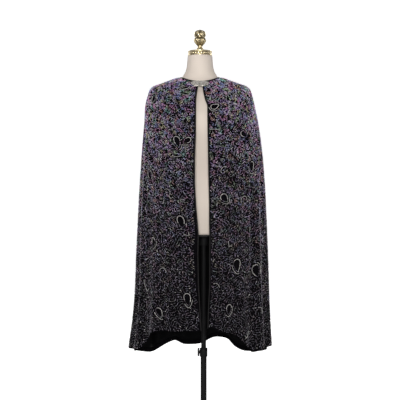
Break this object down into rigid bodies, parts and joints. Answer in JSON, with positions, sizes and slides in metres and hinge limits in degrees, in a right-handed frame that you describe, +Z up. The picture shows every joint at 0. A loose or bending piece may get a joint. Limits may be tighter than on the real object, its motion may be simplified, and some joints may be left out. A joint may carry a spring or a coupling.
{
  "type": "evening cape on dress form",
  "caption": "Long lined evening cape with a jewelled neck clasp, hanging open in front on a limbless dress form with a gilt neck cap and a height-adjustable round stand.",
  "frame": {"origin": "middle of the round base's underside, on the mast's axis", "axes": "+Z up and the longest extent, the cape's front faces -Y, +X is to the viewer's right in the front view"},
  "size_m": [0.6102, 0.4276, 1.653],
  "materials": {
    "beaded_cloth": "black cloth covered in small glass beads and sequins in purple, blue, green and silver",
    "satin_lining": "black satin with a soft sheen",
    "black_binding": "black satin binding, stitched",
    "crystal_clasp": "silver metal set with clear stones",
    "cream_jersey": "smooth cream jersey cover",
    "black_plastic": "matte black",
    "polished_gold": "polished gilt casting with darkened hollows",
    "black_metal": "satin black powder coat"
  },
  "bodies": {
    "stand": {"stand_base": "black_metal", "lower_tube": "black_metal", "clamp_collar": "black_metal"},
    "mast": {"mast": "black_metal"},
    "figure": {"form_body": "cream_jersey", "form_base_plate": "black_plastic", "form_socket": "black_metal", "neck_cap": "polished_gold", "finial": "polished_gold", "cape_front_left": "beaded_cloth", "cape_front_right": "beaded_cloth", "cape_back": "beaded_cloth", "lining_front_left": "satin_lining", "lining_front_right": "satin_lining", "lining_back": "satin_lining", "front_binding_left": "black_binding", "front_binding_right": "black_binding", "neck_binding": "black_binding", "clasp_left": "crystal_clasp", "clasp_right": "crystal_clasp"},
    "knob": {"clamp_knob": "black_plastic"}
  },
  "joints": [
    {"name": "mast_slide", "type": "slide", "parent": "stand", "child": "mast", "axis": [0, 0, 1], "range_m": [-0.03, 0.14]},
    {"name": "figure_turn", "type": "hinge", "parent": "mast", "child": "figure", "pos_m": [0, 0, 0.73], "axis": [0, 0, 1], "continuous": true},
    {"name": "knob_turn", "type": "hinge", "parent": "stand", "child": "knob", "pos_m": [-0.0187, 0, 0.2665], "axis": [-1, 0, 0], "range_deg": [0, 360]}
  ]
}
